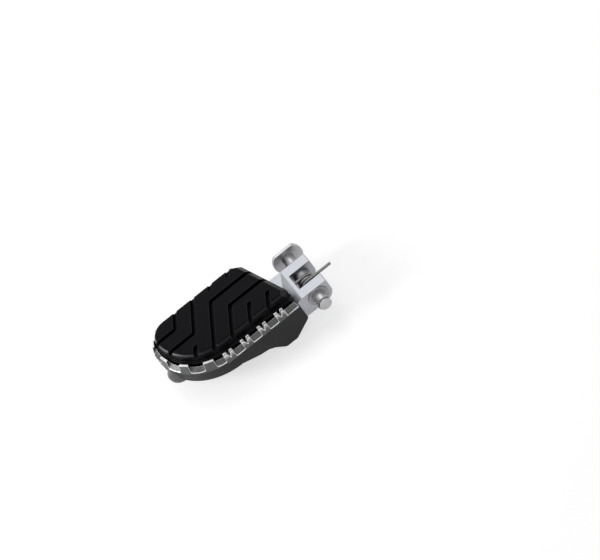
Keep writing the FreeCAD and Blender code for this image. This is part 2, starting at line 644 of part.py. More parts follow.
def slant_y(row, x):
    """Centre of the slanted groove of that row at x."""
    return dim("groove_first") + dim("groove_pitch") * row - dim("groove_slope") * x


def slant_groove(row, x0, x1):
    """A straight slanted groove from x0 back to x1."""
    half = half_groove * stretch
    closed_shape(grooves, [(x0, slant_y(row, x0) + half), (x1, slant_y(row, x1) + half),
                           (x1, slant_y(row, x1) - half), (x0, slant_y(row, x0) - half)])


def bent_groove(row, leg, edge, end):
    """A slanted groove from the edge to the lengthwise leg, which it follows to y = end."""
    half = half_groove * stretch * (1 if end.value > slant_y(row, leg).value else -1)
    side = 1 if edge.value > leg.value else -1
    near_x, far_x = leg + half_groove * side, leg - half_groove * side
    closed_shape(grooves, [(edge, slant_y(row, edge) + half), (near_x, slant_y(row, near_x) + half),
                           (near_x, end), (far_x, end), (far_x, slant_y(row, far_x) - half),
                           (edge, slant_y(row, edge) - half)])


slant_groove(0, dim("stub_first"), rear_out)
slant_groove(1, dim("stub_second"), rear_out)
bent_groove(2, dim("leg_rear"), rear_out, inner_out)
bent_groove(3, dim("leg_front"), rear_out, inner_out)
slant_groove(2, front_out, dim("stub_front"))
slant_groove(3, front_out, dim("stub_front"))
bent_groove(4, dim("leg_rear"), front_out, tip_out)
slant_groove(4, dim("stub_outer"), rear_out)
bent_groove(5, dim("leg_front"), front_out, tip_out)
extrude(tread, "Pocket", "grooves", grooves, dim("groove_depth"))
sketch = new_sketch(tread, "blind_plan", "XY_Plane", dim("floor_top"))
for x, y in pad_screws.values():
    round_shape(sketch, x, y, dim("pad_screw_dia") / 2 + dim("screw_fit"))
extrude(tread, "Pocket", "blind_holes", sketch, dim("pad_screw_grip") + 0.5, back=True)


def turned(label, outline):
    """A piece turned about the pin's line or its own X axis: outline in X (along) and radius."""
    body = new_body(label)
    section = new_sketch(body, f"{label}_section", "XY_Plane")
    closed_shape(section, outline)
    piece = body.newObject("PartDesign::Revolution", f"{label}_turned")
    piece.Profile = section
    piece.ReferenceAxis = (section, ["H_Axis"])
    piece.Angle = 360
    doc.recompute()
    return body


# Pin: two journals ended by undercuts, groove for the snap ring, keyed head.
rear_ear_out = -ear_inside - dim("ear_rear")
pin_end = rear_ear_out - dim("pin_stub")
clip_x = rear_ear_out - dim("ear_play") - dim("clip_wire") / 2
front_ear_out = ear_inside + dim("ear_front")
head_in = front_ear_out + dim("ear_play")
head_out = head_in + dim("head_thick")
head_radius = dim("head_dia") / 2
groove_bed = pin_radius - dim("clip_bite")
groove_half = dim("clip_wire") / 2 + dim("clip_play")
undercut_bed = pin_radius - dim("undercut_depth")
undercut_in = half_block + dim("flange_thick")
hinge_pin = turned("hinge_pin", [
    (pin_end, 0), (head_out, 0), (head_out, head_radius), (head_in, head_radius),
    (head_in, undercut_bed), (front_ear_out, undercut_bed), (front_ear_out, pin_radius),
    (ear_inside, pin_radius), (ear_inside, undercut_bed),
    (undercut_in, undercut_bed), (undercut_in, pin_radius),
    (-undercut_in, pin_radius), (-undercut_in, undercut_bed),
    (-ear_inside, undercut_bed), (-ear_inside, pin_radius),
    (clip_x + groove_half, pin_radius), (clip_x + groove_half, groove_bed),
    (clip_x - groove_half, groove_bed), (clip_x - groove_half, pin_radius),
    (pin_end + dim("pin_chamfer"), pin_radius), (pin_end, pin_radius - dim("pin_chamfer"))])
sketch = new_sketch(hinge_pin, "head_key", "YZ_Plane", head_in)
box_shape(sketch, -dim("head_dia"), dim("head_dia"), dim("head_flat"), dim("head_dia"))
extrude(hinge_pin, "Pocket", "head_flat", sketch, dim("head_thick") + 1, back=True)

# Snap ring: a round wire with its gap on the inboard side.
ring_radius = groove_bed + groove_half
clip = new_body("pin_clip")
sketch = new_sketch(clip, "ring_section", "XY_Plane")
round_shape(sketch, clip_x, ring_radius, dim("clip_wire") / 2)
ring = clip.newObject("PartDesign::Revolution", "ring")
ring.Profile = sketch
ring.ReferenceAxis = (sketch, ["H_Axis"])
ring.Midplane = True
ring.Angle = 300
doc.recompute()

# Bushes with their flanges outside, and the spacer sleeve.
for label, sign in (("front_bush", 1), ("rear_bush", -1)):
    inside, outside = half_window * sign, half_block * sign
    rim_x = outside + dim("flange_thick") * sign
    bore = pin_radius + dim("pin_fit")
    flange = dim("flange_dia") / 2
    turned(label, [(inside, bore), (rim_x, bore), (rim_x, flange), (outside, flange),
                   (outside, bush_radius), (inside, bush_radius)])
sleeve_bore = pin_radius + dim("sleeve_fit")
sleeve_front = half_window - dim("side_play")
turned("spring_sleeve", [(dim("sleeve_rear"), sleeve_bore), (sleeve_front, sleeve_bore),
                         (sleeve_front, dim("sleeve_dia") / 2),
                         (dim("sleeve_rear"), dim("sleeve_dia") / 2)])

# Return spring: close coil about the pin, one leg that stays still, one out into the block.
helix = doc.addObject("Part::Helix", "coil_line")
bind(helix, "Pitch", dim("coil_pitch"))
bind(helix, "Height", dim("coil_pitch") * dim("coil_turns"))
bind(helix, "Radius", coil_radius)
helix.LocalCoord = "Left-handed"
section = doc.addObject("Part::Circle", "coil_section")
bind(section, "Radius", dim("wire_dia") / 2)
section.Placement = FreeCAD.Placement(FreeCAD.Vector(coil_radius.value, 0, 0),
                                      FreeCAD.Rotation(ALONG_X, 90))
coil = doc.addObject("Part::Sweep", "coil")
coil.Sections = [section]
coil.Spine = (helix, ["Edge1"])
coil.Solid = True
coil.Frenet = True
legs = []
coil_long = dim("coil_pitch") * dim("coil_turns")
for name, along, reach, heading in (("frame_leg", as_size(0.0), dim("frame_leg"), -90),
                                    ("block_leg", coil_long, dim("block_leg"), 90)):
    leg = doc.addObject("Part::Cylinder", name)
    bind(leg, "Radius", dim("wire_dia") / 2)
    bind(leg, "Height", reach)
    leg.Placement = FreeCAD.Placement(FreeCAD.Vector(coil_radius.value, 0, along.value),
                                      FreeCAD.Rotation(ALONG_X, heading))
    legs.append(leg)
spring = doc.addObject("Part::MultiFuse", "return_spring")
spring.Shapes = [coil] + legs
spring.Placement = FreeCAD.Placement(
    FreeCAD.Vector(-dim("coil_rear").value, 0, 0),
    FreeCAD.Rotation(FreeCAD.Vector(0, 1, 0), 90) * FreeCAD.Rotation(ALONG_Z, 180))
doc.recompute()


def screw(label, x, y, seat, shank, length, head, high, key):
    """A socket-head screw driven upward: head under seat, shank up by length."""
    body = new_body(label)
    section = new_sketch(body, f"{label}_section", "XZ_Plane")
    closed_shape(section, [(0, -high), (head / 2, -high), (head / 2, 0), (shank / 2, 0),
                           (shank / 2, length), (0, length)])
    piece = body.newObject("PartDesign::Revolution", f"{label}_turned")
    piece.Profile = section
    piece.ReferenceAxis = (section, ["V_Axis"])
    piece.Angle = 360
    doc.recompute()
    socket = new_sketch(body, f"{label}_socket", "XY_Plane", -high)
    reach = key / math.sqrt(3)
    rise = key / 2
    closed_shape(socket, [(reach, 0), (reach / 2, rise), (-reach / 2, rise), (-reach, 0),
                          (-reach / 2, -rise), (reach / 2, -rise)])
    extrude(body, "Pocket", f"{label}_key", socket, high * 0.6, back=True)
    bind(body, "Placement.Base.x", x)
    bind(body, "Placement.Base.y", y)
    bind(body, "Placement.Base.z", seat)
    return body


def washer(label, x, y, top, bore, outside, thick):
    """A flat washer under the level top."""
    body = new_body(label)
    plan = new_sketch(body, f"{label}_plan", "XY_Plane")
    round_shape(plan, 0, 0, outside / 2)
    round_shape(plan, 0, 0, bore / 2)
    extrude(body, "Pad", f"{label}_disc", plan, thick, back=True)
    bind(body, "Placement.Base.x", x)
    bind(body, "Placement.Base.y", y)
    bind(body, "Placement.Base.z", top)
    return body


for place in ("inner", "outer"):
    x, y = dim("screw_x"), dim(f"screw_{place}")
    washer(f"block_washer_{place}", x, y, -dim("block_base"), dim("screw_dia") + dim("hole_room") * 2,
           dim("washer_dia"), dim("washer_thick"))
    seat = -dim("block_base") - dim("washer_thick")
    screw(f"block_screw_{place}", x, y, seat, dim("screw_dia"), dim("floor_top") - 0.5 - seat,
          dim("screw_head"), dim("screw_head_high"), dim("screw_key"))
for place, (x, y) in pad_screws.items():
    washer(f"pad_washer_{place}", x, y, floor_under,
           dim("pad_screw_dia") + dim("hole_room") * 2, dim("pad_washer_dia"), dim("pad_washer_thick"))
    seat = floor_under - dim("pad_washer_thick")
    screw(f"pad_screw_{place}", x, y, seat, dim("pad_screw_dia"),
          dim("floor_top") + dim("pad_screw_grip") - seat, dim("pad_screw_head"), dim("pad_screw_high"),
          dim("pad_screw_key"))

# Every piece is checked before any file is written.
doc.recompute()
failed = [item.Label for item in doc.Objects if "Invalid" in item.State or "Error" in item.State]
if failed:
    raise RuntimeError(f"failed objects: {failed}")
bodies = [item for item in doc.Objects if item.TypeId == "PartDesign::Body" and item is not block]
pieces = bodies + [hinge_block, spring]
for piece in pieces:
    shape = piece.Shape
    if shape.isNull() or not shape.isValid() or len(shape.Solids) != 1:
        raise RuntimeError(f"{piece.Label}: {len(shape.Solids)} solids, valid {shape.isValid()}")
os.makedirs("parts", exist_ok=True)
for piece in pieces:
    piece.Shape.exportStep(f"parts/{piece.Label}.step")
    print(f"{piece.Label}: {piece.Shape.Volume / 1000:.2f} cm3")
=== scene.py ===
# %% [markdown]
# # A folding footpeg
#
# The peg is a toothed cast platform with a black rubber tread. Two screws hold it to a
# milled hinge block, and the block folds up on a headed pin against a small torsion spring.
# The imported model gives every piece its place, so this lesson only softens, details and
# finishes what is already there. The first lines load that model as a fixed frame.

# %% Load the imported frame
import math

import bmesh
import bpy
import numpy as np
from mathutils import Matrix, Vector


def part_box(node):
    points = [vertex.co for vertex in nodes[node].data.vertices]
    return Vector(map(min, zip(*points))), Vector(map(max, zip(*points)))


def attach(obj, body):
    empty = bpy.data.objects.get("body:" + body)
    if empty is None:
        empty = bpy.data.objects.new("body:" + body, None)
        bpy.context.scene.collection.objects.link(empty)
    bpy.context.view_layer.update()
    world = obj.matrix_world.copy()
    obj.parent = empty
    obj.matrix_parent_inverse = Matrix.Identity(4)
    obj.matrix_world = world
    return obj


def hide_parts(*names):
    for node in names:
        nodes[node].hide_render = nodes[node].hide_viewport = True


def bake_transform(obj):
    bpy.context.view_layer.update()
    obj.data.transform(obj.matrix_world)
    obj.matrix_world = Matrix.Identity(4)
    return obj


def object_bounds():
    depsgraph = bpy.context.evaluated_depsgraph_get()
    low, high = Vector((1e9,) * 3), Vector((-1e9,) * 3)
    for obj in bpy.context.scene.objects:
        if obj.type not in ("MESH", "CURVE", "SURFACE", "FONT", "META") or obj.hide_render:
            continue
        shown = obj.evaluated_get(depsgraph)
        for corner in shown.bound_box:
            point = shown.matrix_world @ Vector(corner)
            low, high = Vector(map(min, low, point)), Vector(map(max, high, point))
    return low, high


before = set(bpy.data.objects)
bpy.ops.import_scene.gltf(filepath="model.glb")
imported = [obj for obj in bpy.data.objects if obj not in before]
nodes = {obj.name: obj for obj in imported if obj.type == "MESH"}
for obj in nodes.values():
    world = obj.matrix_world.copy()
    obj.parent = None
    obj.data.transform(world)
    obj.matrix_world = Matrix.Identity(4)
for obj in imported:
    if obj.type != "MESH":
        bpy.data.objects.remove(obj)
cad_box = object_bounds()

MM = 0.001
scene = bpy.context.scene


def in_mm(box):
    """A box's two corners in millimetres, rounded for printing."""
    return [[round(value / MM, 1) for value in corner] for corner in box]


print("nodes:", len(nodes), "box in mm:", in_mm(cad_box))

# %% [markdown]
# ## The camera
#
# A camera can be placed by eye, but then every later comparison is a guess. Here its
# position was worked out from matching corners of the model and the photograph, which gives
# a rotation vector, an offset and a focal length in pixels of a picture 600 wide.
# Picture axes run right, down and forward, while Blender's camera looks along its own -Z
# with +Y up, so two axes change sign.

# %% Camera
TURN = Vector((1.0544962, -2.2066525, 0.4365717))
OFFSET = Vector((5.0290388, 1.4093137, 904.9334551)) * MM
FOCAL_PIXELS, PICTURE_WIDTH, SENSOR_WIDTH = 1360.93, 600.0, 36.0


def added(name, data):
    """A new object in the scene that shows the given data."""
    made = bpy.data.objects.new(name, data)
    scene.collection.objects.link(made)
    return made


camera_data = bpy.data.cameras.new("camera")
camera_data.sensor_width = SENSOR_WIDTH
camera_data.lens = FOCAL_PIXELS * SENSOR_WIDTH / PICTURE_WIDTH
camera_data.clip_start, camera_data.clip_end = 0.05, 20.0
camera = added("camera", camera_data)
back = Matrix.Rotation(TURN.length, 3, TURN.normalized()).transposed()
camera.matrix_world = (Matrix.Translation(-(back @ OFFSET))
                       @ (back @ Matrix.Diagonal((1.0, -1.0, -1.0))).to_4x4())
scene.camera = camera
print("camera at", [round(v, 3) for v in camera.location], "lens", round(camera_data.lens, 1))

# %% [markdown]
# ## Floor and light
#
# The peg is shown over a plain white ground. The floor is a pale sheet that keeps the soft
# shadow, and the world is white wherever the camera, a mirror or glass looks at it, while it
# lights the peg only faintly. A Light Path node tells those rays apart.

# %% World
WORLD_LIGHT, WORLD_SEEN = 0.28, 1.0
WHITE = (1.0, 1.0, 1.0, 1.0)
scene.view_settings.view_transform = "Standard"


def worked(tree, operation, first, second):
    """One Math node on two sockets, or on a socket and a number."""
    node = tree.nodes.new("ShaderNodeMath")
    node.operation = operation
    for value, socket in zip((first, second), node.inputs):
        if isinstance(value, float):
            socket.default_value = value
        else:
            tree.links.new(value, socket)
    return node.outputs[0]


def seen_directly(tree):
    """1 for camera, glossy and transmission rays, 0 for the rays that carry light."""
    rays = tree.nodes.new("ShaderNodeLightPath").outputs
    looked_at = worked(tree, "MAXIMUM", rays["Is Camera Ray"], rays["Is Glossy Ray"])
    return worked(tree, "MAXIMUM", looked_at, rays["Is Transmission Ray"])


world = bpy.data.worlds.new("white_room")
world.use_nodes = True
scene.world = world
tree = world.node_tree
strength = tree.nodes.new("ShaderNodeMapRange")
strength.inputs["To Min"].default_value = WORLD_LIGHT
strength.inputs["To Max"].default_value = WORLD_SEEN
tree.links.new(seen_directly(tree), strength.inputs["Value"])
background = tree.nodes["Background"]
background.inputs["Color"].default_value = WHITE
tree.links.new(strength.outputs["Result"], background.inputs["Strength"])
print("world:", world.name, "lights at", WORLD_LIGHT, "and is seen at", WORLD_SEEN)

# %% Floor
FLOOR_GAP, FLOOR_HALF = 0.5 * MM, 6.0
PAPER, PAPER_GLOW = (0.9, 0.9, 0.9, 1.0), 0.6

floor_level = cad_box[0].z - FLOOR_GAP
floor_mesh = bpy.data.meshes.new("floor")
floor_mesh.from_pydata([(x * FLOOR_HALF, y * FLOOR_HALF, floor_level)
                        for x, y in ((-1, -1), (1, -1), (1, 1), (-1, 1))], [], [(0, 1, 2, 3)])
floor = added("floor", floor_mesh)
paper = bpy.data.materials.new("paper_white")
paper.use_nodes = True
tree = paper.node_tree
sheet = tree.nodes["Principled BSDF"]
sheet.inputs["Base Color"].default_value = PAPER
sheet.inputs["Roughness"].default_value = 0.9
sheet.inputs["Specular IOR Level"].default_value = 0.0
sheet.inputs["Emission Color"].default_value = WHITE
tree.links.new(worked(tree, "MULTIPLY", seen_directly(tree), PAPER_GLOW),
               sheet.inputs["Emission Strength"])
floor_mesh.materials.append(paper)
print("floor at", round(floor_level / MM, 1), "mm")

# %% [markdown]
# ## Lamps
#
# One soft panel beyond the tip brightens the swept corner, and a larger one above the front is
# what the milled block mirrors. The side that faces the camera stays in shade, as it does in
# the picture. Area lamps give soft edges to both the shadow and the reflections.

# %% Soft panels


def soft_panel(name, place, aim, size, watts):
    """A square area lamp at place whose face looks at aim."""
    lamp = bpy.data.lights.new(name, "AREA")
    lamp.size = size
    lamp.energy = watts
    panel = added(name, lamp)
    panel.location = place
    panel.rotation_euler = (Vector(aim) - Vector(place)).to_track_quat("-Z", "Y").to_euler()


middle = (cad_box[0] + cad_box[1]) / 2
soft_panel("tip_panel", (0.28, 0.95, 0.42), middle, size=0.35, watts=3.8)
soft_panel("top_panel", (0.56, -0.12, 0.82), middle, size=0.6, watts=1.3)

# %% [markdown]
# ## Surfaces from numbers
#
# Turned and wound pieces are easiest as surfaces of two parameters: one runs along a
# profile or a path, the other goes round it. A grid of points worked out in one step with
# numpy becomes a mesh of quads. Poles and seams are closed by merging points that coincide.

# %% Grids
WELD = 0.002 * MM


def grid_quads(rows, columns, close_rows=False):
    """Quads of a grid whose columns wrap round; rows wrap too where close_rows is set."""
    last = rows if close_rows else rows - 1
    i, j = np.meshgrid(np.arange(last), np.arange(columns), indexing="ij")
    i, j = i.ravel(), j.ravel()
    down, right = (i + 1) % rows, (j + 1) % columns
    return np.stack([i * columns + j, i * columns + right,
                     down * columns + right, down * columns + j], axis=1)


def surface(name, points, close_rows=False):
    """An object from rows x columns x 3 points in millimetres, with its doubles merged."""
    rows, columns = points.shape[:2]
    mesh = bpy.data.meshes.new(name)
    mesh.from_pydata((points.reshape(-1, 3) * MM).tolist(), [],
                     grid_quads(rows, columns, close_rows).tolist())
    made = bmesh.new()
    made.from_mesh(mesh)
    bmesh.ops.remove_doubles(made, verts=made.verts, dist=WELD)
    bmesh.ops.recalc_face_normals(made, faces=made.faces)
    made.to_mesh(mesh)
    made.free()
    mesh.polygons.foreach_set("use_smooth", np.ones(len(mesh.polygons), bool))
    print(f"{name}: {len(mesh.polygons)} faces")
    return added(name, mesh)


print("quads of an open grid of 3 by 8:", len(grid_quads(3, 8)))

# %% [markdown]
# ## Wires
#
# A wire is a circle carried along a path. The circle needs two directions at every point, and
# they come from the path's tangent and a normal that is known beforehand, because then the
# circle doesn't twist on its way. Cut wire has slightly broken edges at its ends.

# %% Wire helper
END_SHARE, END_INSET = 0.85, 0.15


def wire(name, path, normal, radius, sides=24):
    """A round wire: path + radius * (cos u * upright + sin u * side), with its two ends closed.

    side is tangent x normal and upright is side x tangent. Each end gets three rows of its
    own: a point, a slightly smaller circle and the full circle a little further in.
    """
    tangent = np.gradient(path, axis=0)
    tangent /= np.linalg.norm(tangent, axis=1, keepdims=True)
    side = np.cross(tangent, normal)
    side /= np.linalg.norm(side, axis=1, keepdims=True)
    upright = np.cross(side, tangent)
    rows = np.concatenate([[0, 0, 0], np.arange(1, len(path) - 1), [-1, -1, -1]])
    share = np.ones(len(rows))
    share[[0, -1]], share[[1, -2]] = 0.0, END_SHARE
    centre = path[rows]
    centre[2] += END_INSET * radius * tangent[0]
    centre[-3] -= END_INSET * radius * tangent[-1]
    u = np.linspace(0.0, 2 * np.pi, sides, endpoint=False)[None, :, None]
    ring = np.cos(u) * upright[rows][:, None] + np.sin(u) * side[rows][:, None]
    return surface(name, centre[:, None] + radius * share[:, None, None] * ring)


print("wire ends narrow to", END_SHARE, "of the radius")

# %% [markdown]
# ## Return spring
#
# The spring is a length of hard round wire: a straight leg, two turns round the pin and
# a second leg. The first leg stays still while the other is carried round by the block, so the
# coil winds up as the peg folds.

# %% Spring wire
WIRE = 2.1
COIL_RADIUS = 5.75
COIL_REAR, COIL_PITCH, COIL_TURNS = -4.3, 2.5, 2.0
COIL_EASE = 0.6
STILL_LEG, BLOCK_LEG = 19.5, 10.6


def spring_path(leg_steps=40, coil_steps=160):
    """Centre line and outward normal: a leg along +Y at the top, a helix about X, a leg along +Y.

    On the helix y = R sin a and z = R cos a, while x advances with a, slowly at both ends so
    that the legs leave it without a kink.
    """
    a = np.linspace(0.0, 2 * np.pi * COIL_TURNS, coil_steps)
    pace = np.clip(np.minimum(a, a[-1] - a) / COIL_EASE, 0.0, 1.0)
    advance = np.concatenate([[0.0], np.cumsum((pace[1:] + pace[:-1]) / 2)])
    x = COIL_REAR + COIL_PITCH * COIL_TURNS * advance / advance[-1]
    coil = np.stack([x, COIL_RADIUS * np.sin(a), COIL_RADIUS * np.cos(a)], axis=1)
    out = np.stack([0 * a, np.sin(a), np.cos(a)], axis=1)
    y = np.linspace(-STILL_LEG, 0.0, leg_steps)[:-1]
    first = np.stack([0 * y + x[0], y, 0 * y + COIL_RADIUS], axis=1)
    y = np.linspace(0.0, BLOCK_LEG, leg_steps)[1:]
    second = np.stack([0 * y + x[-1], y, 0 * y + COIL_RADIUS], axis=1)
    up = np.tile([[0.0, 0.0, 1.0]], (leg_steps - 1, 1))
    return np.concatenate([first, coil, second]), np.concatenate([up, out, up])


spring = wire("spring_wire", *spring_path(), WIRE / 2)
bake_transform(spring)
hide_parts("return_spring")

# %% [markdown]
# ## Snap ring
#
# The pin is kept in place by a ring of thin spring wire in a groove near its end. It is an
# open circle, so its path is an arc that leaves a gap on the inboard side, and the same wire
# function serves again.

# %% Ring wire
RING_HALF_ARC, RING_POINTS = 150.0, 90


def box_mm(node):
    """Lowest and highest corner of a node in millimetres."""
    return tuple(np.array(corner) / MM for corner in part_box(node))


ring_low, ring_high = box_mm("pin_clip")
ring_wire = ring_high[0] - ring_low[0]
ring_radius = ring_high[2] - ring_wire / 2
v = np.radians(np.linspace(-RING_HALF_ARC, RING_HALF_ARC, RING_POINTS))
ring_out = np.stack([0 * v, np.cos(v), np.sin(v)], axis=1)
ring_path = ring_out * ring_radius + [[(ring_low[0] + ring_high[0]) / 2, 0, 0]]
ring = wire("ring_wire", ring_path, ring_out, ring_wire / 2, sides=16)
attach(ring, "hinge")
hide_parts("pin_clip")

# %% [markdown]
# ## Bushes, sleeve and washers
#
# These are lathe work: a section spun round an axis. A turner breaks every sharp edge, so each
# corner of the section is rounded a little, which is what catches the light. The sections are
# closed loops, so the grid wraps both ways and the result is a watertight ring. Bushes and
# sleeve lie along the pin, and washers stand upright, so their points swap axes.

# %% Turning
EDGE_BREAK = 0.25


def rounded(corners, radius, steps=5):
    """A closed polyline with its corners rounded.

    Each corner C becomes a small curve (1-t)^2 A + 2t(1-t) C + t^2 B, where A and B lie on
    the two lines that meet there, one radius away or at most 0.45 of the shorter line.
    """
    corners = np.asarray(corners, float)
    before, after = np.roll(corners, 1, axis=0), np.roll(corners, -1, axis=0)
    to_before, to_after = before - corners, after - corners
    long_before = np.linalg.norm(to_before, axis=1, keepdims=True)
    long_after = np.linalg.norm(to_after, axis=1, keepdims=True)
    reach = np.minimum(radius, 0.45 * np.minimum(long_before, long_after))
    a = (corners + to_before / long_before * reach)[:, None]
    b = (corners + to_after / long_after * reach)[:, None]
    t = np.linspace(0.0, 1.0, steps)[None, :, None]
    curve = ((1 - t) ** 2 * a + 2 * t * (1 - t) * corners[:, None] + t ** 2 * b)
    return curve.reshape(-1, 2)


def spun(profile, sides=96):
    """A profile of (along, radius) pairs carried round an axis: (along, r sin v, r cos v)."""
    v = np.linspace(0.0, 2 * np.pi, sides, endpoint=False)[None, :]
    along, r = profile[:, :1], profile[:, 1:]
    return np.stack([along + 0 * v, r * np.sin(v), r * np.cos(v)], axis=2)


def turned_ring(name, node, body, corners, upright_at=None):
    """A section of (along, radius) corners spun round the pin's line, or round a vertical one."""
    points = spun(rounded(corners, EDGE_BREAK))
    if upright_at is not None:
        points = points[:, :, [1, 2, 0]] + [[[upright_at[0], upright_at[1], 0.0]]]
    piece = surface(name, points, close_rows=True)
    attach(piece, body)
    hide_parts(node)
    return piece


def tube(start, end, bore, outer):
    """The section of a plain ring from start to end along its axis."""
    return [(start, bore), (end, bore), (end, outer), (start, outer)]


print("turned edges are broken by", EDGE_BREAK, "mm")

# %% Rings
PIN_RADIUS, PIN_FIT, SLEEVE_FIT = 4.5, 0.05, 0.1
BUSH_WALL, FLANGE = 1.0, 0.8
WASHER_BORES = {"block": 4.3, "pad": 2.8}

bushes, washers = [], []
bore, wall = PIN_RADIUS + PIN_FIT, PIN_RADIUS + PIN_FIT + BUSH_WALL
for side, sign in (("front", 1), ("rear", -1)):
    low, high = box_mm(f"{side}_bush")
    inside, outside = sorted((low[0] * sign, high[0] * sign))
    section = [(inside, bore), (outside, bore), (outside, high[2]), (outside - FLANGE, high[2]),
               (outside - FLANGE, wall), (inside, wall)]
    bushes.append(turned_ring(f"{side}_bush_turned", f"{side}_bush", "peg",
                              [(along * sign, r) for along, r in section]))
low, high = box_mm("spring_sleeve")
sleeve = turned_ring("sleeve_turned", "spring_sleeve", "hinge",
                     tube(low[0], high[0], PIN_RADIUS + SLEEVE_FIT, high[2]))
for node in sorted(n for n in nodes if "washer" in n):
    low, high = box_mm(node)
    section = tube(low[2], high[2], WASHER_BORES[node.split("_")[0]], (high[0] - low[0]) / 2)
    washers.append(turned_ring(f"{node}_flat", node, "peg", section,
                               upright_at=(low + high)[:2] / 2))

# %% [markdown]
# ## Socket screws
#
# Five screws hold the peg together from below. A socket head has a knurled rim, a chamfer and
# a hexagonal hole. All of it is one surface: height and radius run along a profile, and the
# radius also changes with the angle, by a fine ripple on the rim and by the hexagon's own polar
# radius, half the key width over the cosine of the angle from the nearest flat.

# %% Screws
HEX_KEY = {"block": 5.0, "pad": 3.0}
# head radius, head height and shank radius
HEADS = {"block": (6.5, 5.0, 4.0), "pad": (4.25, 3.0, 2.5)}
KNURLS, KNURL_DEPTH, SOCKET_SHARE = 36, 0.12, 0.6


def screw_surface(centre, top, kind, sides=144):
    """Points of a socket screw: rows along its profile, columns round it.

    x = cx + r sin v, y = cy + r cos v and z = cz + height, where r is the row's round radius,
    plus its share of the hexagon, less its share of the ripple.
    """
    head, high, shank = HEADS[kind]
    v = np.linspace(0.0, 2 * np.pi, sides, endpoint=False)
    hexagon = HEX_KEY[kind] / 2 / np.cos((v + np.pi / 6) % (np.pi / 3) - np.pi / 6)
    ripple = KNURL_DEPTH * np.abs(np.sin(v * KNURLS / 2))
    low, depth = -high, SOCKET_SHARE * high
    rows = np.array([
        # height, round radius, share of the hexagon, share of the ripple
        (low + depth - 0.4, 0.0, 0.0, 0.0), (low + depth, 0.0, 0.9, 0.0),
        (low + depth, 0.0, 1.0, 0.0), (low + 0.3, 0.0, 1.0, 0.0),
        (low, 0.0, 1.12, 0.0), (low, head * 0.82, 0.0, 0.0),
        (low + 0.12, head * 0.9, 0.0, 0.0), (low + 0.45, head - 0.05, 0.0, 0.0),
        (low + 0.6, head, 0.0, 1.0), (-0.75, head, 0.0, 1.0),
        (-0.5, head, 0.0, 0.0), (-0.12, head, 0.0, 0.0),
        (0.0, head - 0.15, 0.0, 0.0), (0.0, shank + 0.2, 0.0, 0.0),
        (0.2, shank, 0.0, 0.0), (top - 0.6, shank, 0.0, 0.0),
        (top, shank - 0.6, 0.0, 0.0), (top, 0.0, 0.0, 0.0)])
    radius = rows[:, 1:2] + rows[:, 2:3] * hexagon - rows[:, 3:4] * ripple
    return np.stack([centre[0] + radius * np.sin(v), centre[1] + radius * np.cos(v),
                     centre[2] + rows[:, :1] + 0 * v], axis=2)


screws = []
for node in sorted(n for n in nodes if "screw" in n):
    kind = node.split("_")[0]
    low, high = box_mm(node)
    seat = low[2] + HEADS[kind][1]
    centre = np.array([(low[0] + high[0]) / 2, (low[1] + high[1]) / 2, seat])
    piece = surface(f"{node}_socket", screw_surface(centre, high[2] - seat, kind))
    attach(piece, "peg")
    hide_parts(node)
    screws.append(piece)

# %% [markdown]
# ## Which edges are rounded
#
# The block, the platform, the tread and the pin already have the right shape, but their edges
# are perfectly sharp, and nothing real is. Rounding all edges alike would also round the facets
# of curved faces. So each piece has a rule that says how much an edge is rounded, in
# millimetres, from the degrees it turns, the heights of its ends and the smaller face beside it.

# %% Edge rules
REAL_TURN = 32.0
BLOCK_EDGE, SLIGHT_TURN, BROAD_FACE = 0.3, 4.0, 25.0
RIM_EDGE, RIM_TURN, RIM_FOOT = 0.32, 26.0, 5.8
TREAD_EDGE, GROOVE_LOW, GROOVE_HIGH = 0.22, 14.6, 15.4
PIN_EDGE = 0.15


def block_rule(turn, low, high, area):
    """Every real edge, and slight turns where two broad faces meet."""
    return BLOCK_EDGE if turn > (SLIGHT_TURN if area > BROAD_FACE else REAL_TURN) else 0.0


def platform_rule(turn, low, high, area):
    """Only the rim above its base is rounded: lips of the gaps, teeth and merlons."""
    return RIM_EDGE if turn > RIM_TURN and low > RIM_FOOT else 0.0


def tread_rule(turn, low, high, area):
    """The tread's edges, but not the floors of its grooves."""
    in_groove = GROOVE_LOW < low <= high < GROOVE_HIGH
    return TREAD_EDGE if turn > REAL_TURN and not in_groove else 0.0


def pin_rule(turn, low, high, area):
    """All turned edges alike."""
    return PIN_EDGE if turn > REAL_TURN else 0.0


print("edge widths in mm:", BLOCK_EDGE, RIM_EDGE, TREAD_EDGE, PIN_EDGE)

# %% [markdown]
# ## Moulded corners
#
# The platform is a casting, so its gap floors run up into the teeth with a radius larger than
# that of the edges, and its rear wall ends in a round corner. These are cut into the mesh itself
# before the edges are rounded. A radius longer than the edges beside it would fold the mesh over,
# so in the gaps, where edges are short, it is kept under the shortest of them.

# %% Corner rule
CORNER_TURN, CORNER_STEPS = 50.0, 6
GAP_RADIUS, ROOM_SHARE, TAB_END = 0.75, 0.9, 25.0
FLOOR_HEIGHTS, SIDE_HEIGHTS = (5.9, 7.1), (7.6, 10.0)
END_RADIUS, END_X, END_Y, END_HEIGHT = 1.2, -17.5, 14.2, 0.8


